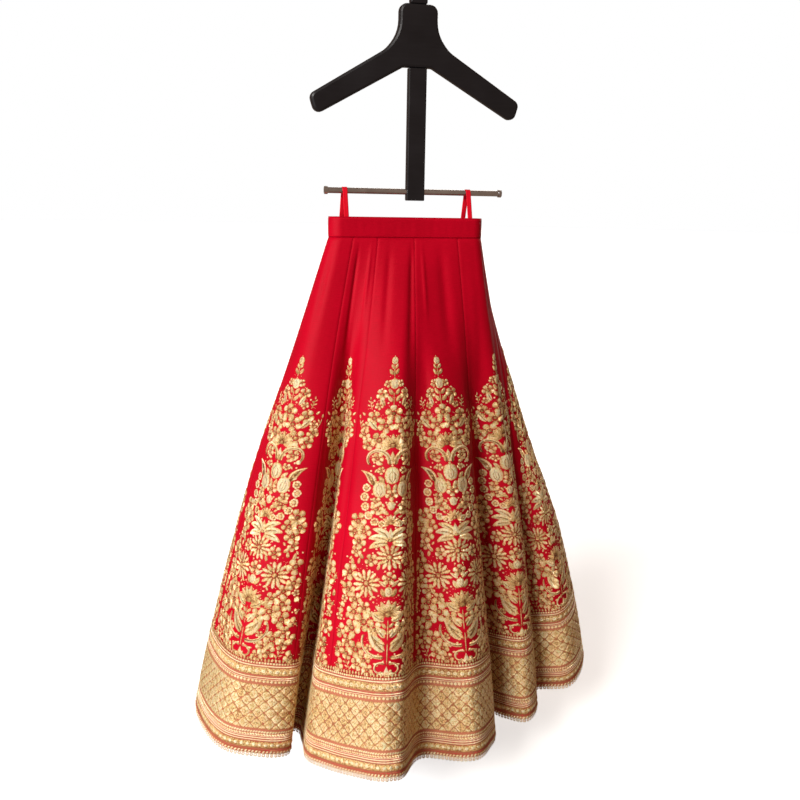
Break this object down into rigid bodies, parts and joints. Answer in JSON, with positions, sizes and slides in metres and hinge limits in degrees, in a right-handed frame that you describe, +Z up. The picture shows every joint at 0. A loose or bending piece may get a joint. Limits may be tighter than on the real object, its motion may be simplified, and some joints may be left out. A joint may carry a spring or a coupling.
{
  "type": "lehenga skirt on a hanger",
  "caption": "Flared red lehenga skirt of embroidered tapered panels with a deep gold border, hung by its waist loops from a black hanger with a lower bar and wire hook.",
  "frame": {"origin": "the top of the hook's inside, where a rail carries the hanger", "axes": "+Z up, the skirt's front faces -Y, +X is the wearer's left; the rail runs along Y"},
  "size_m": [0.939, 0.6685, 1.6517],
  "materials": {
    "red_silk": "scarlet raw silk with a low sheen under gold thread embroidery",
    "gold_zari_border": "gold thread work, softly shining, with fine red lines",
    "pale_gold_lace": "pale gold thread lace",
    "red_ribbon": "satin ribbon",
    "black_lacquer": "smooth black lacquer",
    "hook_steel": "bright plated steel"
  },
  "bodies": {
    "root": {"kali_a": "red_silk", "kali_b": "red_silk", "kali_c": "red_silk", "kali_d": "red_silk", "kali_e": "red_silk", "kali_f": "red_silk", "kali_g": "red_silk", "kali_h": "red_silk", "kali_i": "red_silk", "kali_j": "red_silk", "kali_k": "red_silk", "kali_l": "red_silk", "border_a": "gold_zari_border", "border_b": "gold_zari_border", "border_c": "gold_zari_border", "border_d": "gold_zari_border", "border_e": "gold_zari_border", "border_f": "gold_zari_border", "border_g": "gold_zari_border", "border_h": "gold_zari_border", "border_i": "gold_zari_border", "border_j": "gold_zari_border", "border_k": "gold_zari_border", "border_l": "gold_zari_border", "hem_lace": "pale_gold_lace", "waistband": "red_silk", "hanging_loop_left": "red_ribbon", "hanging_loop_right": "red_ribbon", "hanger_body": "black_lacquer", "hanger_post": "black_lacquer", "hook_collar": "black_lacquer", "lower_bar": "hook_steel", "hook": "hook_steel"}
  },
  "joints": []
}
